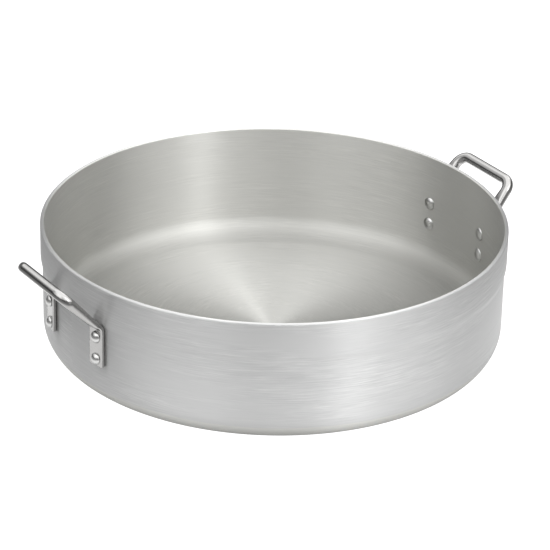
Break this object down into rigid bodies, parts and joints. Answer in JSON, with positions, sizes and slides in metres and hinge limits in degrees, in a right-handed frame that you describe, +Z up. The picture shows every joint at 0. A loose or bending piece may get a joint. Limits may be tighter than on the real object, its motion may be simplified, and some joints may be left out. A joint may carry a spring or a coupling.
{
  "type": "brazier pan",
  "caption": "Wide, low, round brazing and boiling pan of heavy spun aluminium with a thickened rim band and riveted loop handles on opposite sides.",
  "frame": {"origin": "centre of the flat base, on the surface the pan stands on", "axes": "+Z up the pan's axis; +X from the middle of the pan out through the right handle, -X through the left handle; +Y completes the right-handed set"},
  "size_m": [0.5874, 0.508, 0.1416],
  "materials": {
    "spun_aluminium": "spun satin with fine circumferential brushing",
    "handle_plating": "polished bright plating",
    "rivet_metal": "smooth bright, lightly burnished"
  },
  "bodies": {
    "root": {"pan_body": "spun_aluminium", "handle_left": "handle_plating", "handle_right": "handle_plating", "rivet_left_front_upper": "rivet_metal", "rivet_left_front_lower": "rivet_metal", "rivet_left_back_upper": "rivet_metal", "rivet_left_back_lower": "rivet_metal", "rivet_right_front_upper": "rivet_metal", "rivet_right_front_lower": "rivet_metal", "rivet_right_back_upper": "rivet_metal", "rivet_right_back_lower": "rivet_metal"}
  },
  "joints": []
}
